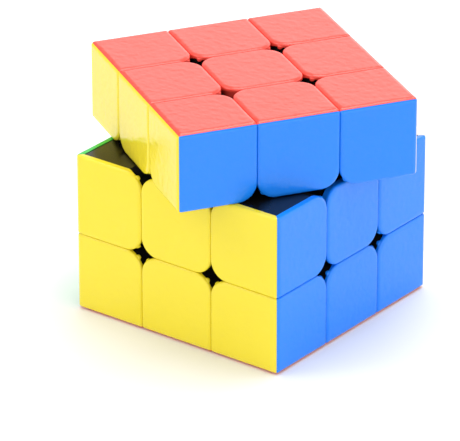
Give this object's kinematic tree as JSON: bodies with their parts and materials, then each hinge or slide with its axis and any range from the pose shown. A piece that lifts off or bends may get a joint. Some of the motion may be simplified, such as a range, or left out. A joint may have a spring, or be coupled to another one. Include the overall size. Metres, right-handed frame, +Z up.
{
  "type": "twisty puzzle cube",
  "caption": "Stickerless twisty puzzle cube with coloured faces on black bodies, a sprung core and turning layers, at rest with its top layer part way round.",
  "frame": {"origin": "centre of the bottom face, on the surface that the cube stands on", "axes": "+Z up through the turned top layer and the vertical turning axis; the lower layers' yellow side faces -Y and their blue side faces +X"},
  "size_m": [0.0762, 0.0762, 0.056],
  "materials": {
    "black_abs": "moulded, glossy",
    "red_abs": "fine frosted moulding, semi-matte",
    "orange_abs": "fine frosted moulding, semi-matte",
    "yellow_abs": "fine frosted moulding, semi-matte",
    "blue_abs": "fine frosted moulding, semi-matte",
    "white_abs": "fine frosted moulding, semi-matte",
    "green_abs": "fine frosted moulding, semi-matte",
    "plated_screw_steel": "zinc plated",
    "spring_steel": "bright drawn wire",
    "nylon": "natural white nylon"
  },
  "bodies": {
    "root": {"core": "black_abs", "edge_blue_yellow": "black_abs", "edge_green_white": "black_abs", "edge_white_blue": "black_abs", "edge_yellow_green": "black_abs", "tension_screw_blue": "plated_screw_steel", "tension_screw_green": "plated_screw_steel", "tension_screw_orange": "plated_screw_steel", "tension_screw_red": "plated_screw_steel", "tension_screw_white": "plated_screw_steel", "tension_screw_yellow": "plated_screw_steel", "thrust_washer_yellow": "nylon", "thrust_washer_blue": "nylon", "thrust_washer_white": "nylon", "thrust_washer_green": "nylon"},
    "top_spindle": {"thrust_washer_red": "nylon", "tension_spring_red": "spring_steel"},
    "top_layer": {"centre_body_red": "black_abs", "centre_cap_red": "red_abs", "corner_foot_red_blue_white": "black_abs", "corner_foot_red_green_yellow": "black_abs", "corner_foot_red_white_green": "black_abs", "corner_foot_red_yellow_blue": "black_abs", "corner_shell_red_blue_white": "black_abs", "corner_shell_red_green_yellow": "black_abs", "corner_shell_red_white_green": "black_abs", "corner_shell_red_yellow_blue": "black_abs", "edge_red_blue": "black_abs", "edge_red_green": "black_abs", "edge_red_white": "black_abs", "edge_red_yellow": "black_abs"},
    "bottom_spindle": {"thrust_washer_orange": "nylon", "tension_spring_orange": "spring_steel"},
    "bottom_layer": {"centre_body_orange": "black_abs", "centre_cap_orange": "orange_abs", "corner_foot_orange_blue_yellow": "black_abs", "corner_foot_orange_green_white": "black_abs", "corner_foot_orange_white_blue": "black_abs", "corner_foot_orange_yellow_green": "black_abs", "corner_shell_orange_blue_yellow": "black_abs", "corner_shell_orange_green_white": "black_abs", "corner_shell_orange_white_blue": "black_abs", "corner_shell_orange_yellow_green": "black_abs", "edge_orange_blue": "black_abs", "edge_orange_green": "black_abs", "edge_orange_white": "black_abs", "edge_orange_yellow": "black_abs"},
    "yellow_centre": {"centre_body_yellow": "black_abs", "centre_cap_yellow": "yellow_abs", "tension_spring_yellow": "spring_steel"},
    "blue_centre": {"centre_body_blue": "black_abs", "centre_cap_blue": "blue_abs", "tension_spring_blue": "spring_steel"},
    "white_centre": {"centre_body_white": "black_abs", "centre_cap_white": "white_abs", "tension_spring_white": "spring_steel"},
    "green_centre": {"centre_body_green": "black_abs", "centre_cap_green": "green_abs", "tension_spring_green": "spring_steel"}
  },
  "joints": [
    {"name": "top_layer_turn", "type": "hinge", "parent": "root", "child": "top_spindle", "pos_m": [0, 0, 0.028], "axis": [0, 0, 1], "continuous": true},
    {"name": "top_layer_pull", "type": "slide", "parent": "top_spindle", "child": "top_layer", "axis": [0, 0, 1], "range_m": [0, 0.0005], "stiffness_N_per_m": 800, "springref_m": -0.0015, "deforming": ["tension_spring_red"]},
    {"name": "bottom_layer_turn", "type": "hinge", "parent": "root", "child": "bottom_spindle", "pos_m": [0, 0, 0.028], "axis": [0, 0, 1], "continuous": true},
    {"name": "bottom_layer_pull", "type": "slide", "parent": "bottom_spindle", "child": "bottom_layer", "axis": [0, 0, -1], "range_m": [0, 0.0005], "stiffness_N_per_m": 800, "springref_m": -0.0015, "deforming": ["tension_spring_orange"]},
    {"name": "yellow_centre_pull", "type": "slide", "parent": "root", "child": "yellow_centre", "axis": [0, -1, 0], "range_m": [0, 0.0005], "stiffness_N_per_m": 800, "springref_m": -0.0015, "deforming": ["tension_spring_yellow"]},
    {"name": "blue_centre_pull", "type": "slide", "parent": "root", "child": "blue_centre", "axis": [1, 0, 0], "range_m": [0, 0.0005], "stiffness_N_per_m": 800, "springref_m": -0.0015, "deforming": ["tension_spring_blue"]},
    {"name": "white_centre_pull", "type": "slide", "parent": "root", "child": "white_centre", "axis": [0, 1, 0], "range_m": [0, 0.0005], "stiffness_N_per_m": 800, "springref_m": -0.0015, "deforming": ["tension_spring_white"]},
    {"name": "green_centre_pull", "type": "slide", "parent": "root", "child": "green_centre", "axis": [-1, 0, 0], "range_m": [0, 0.0005], "stiffness_N_per_m": 800, "springref_m": -0.0015, "deforming": ["tension_spring_green"]}
  ]
}
